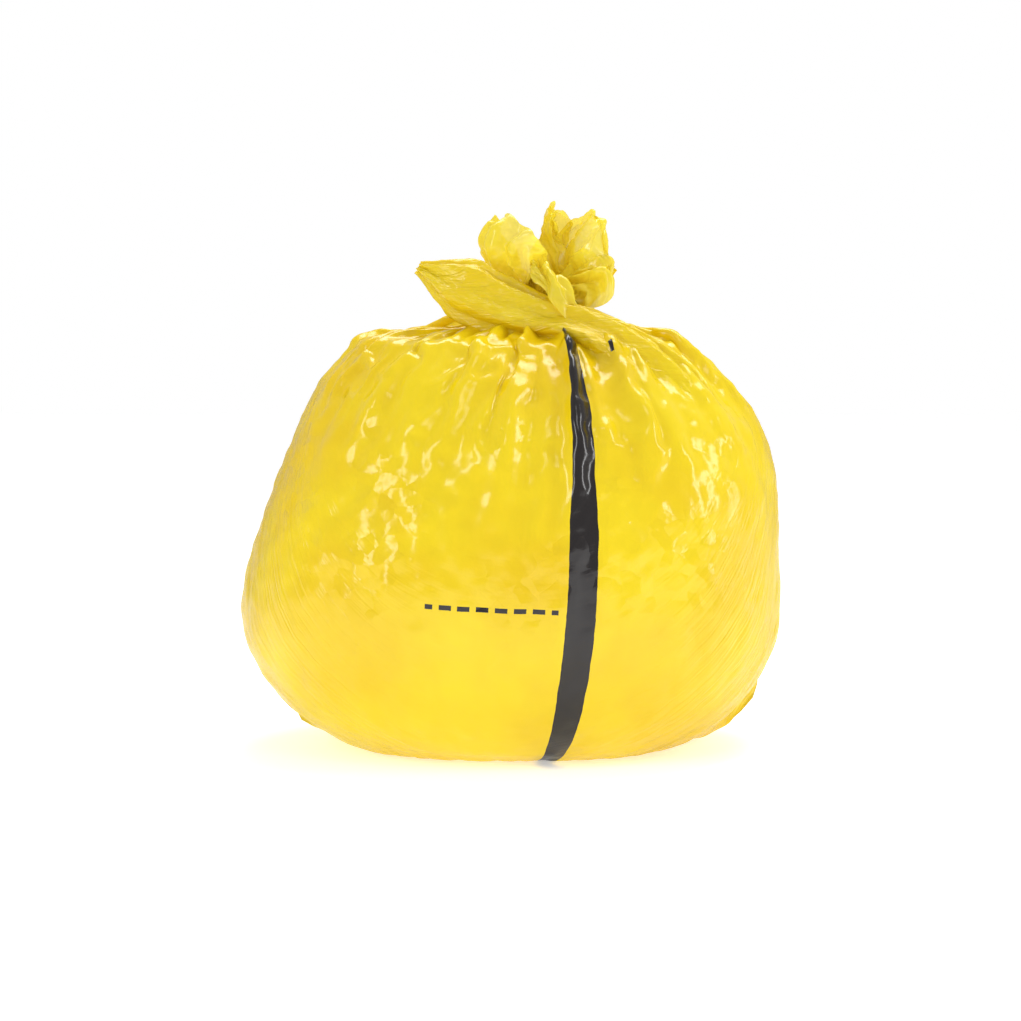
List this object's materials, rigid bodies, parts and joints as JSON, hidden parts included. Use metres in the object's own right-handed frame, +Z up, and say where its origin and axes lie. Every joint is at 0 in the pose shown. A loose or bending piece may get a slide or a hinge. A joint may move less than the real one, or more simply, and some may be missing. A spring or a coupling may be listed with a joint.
{
  "type": "clinical waste bag",
  "caption": "Filled and knotted yellow plastic waste bag: a slumped pear-shaped sack with soft bottom corners, a dark stripe down its front and its own gathered mouth as the knot.",
  "frame": {"origin": "on the floor, at the middle of the bag's width and depth", "axes": "+Z up, +X to the right as one looks at the front, and -Y out of the front, which carries the printed stripe"},
  "size_m": [0.5009, 0.4, 0.497],
  "materials": {
    "film": "glossy, slightly translucent crinkled polythene film with a black printed stripe"
  },
  "bodies": {
    "root": {"film_bag": "film"}
  },
  "joints": []
}
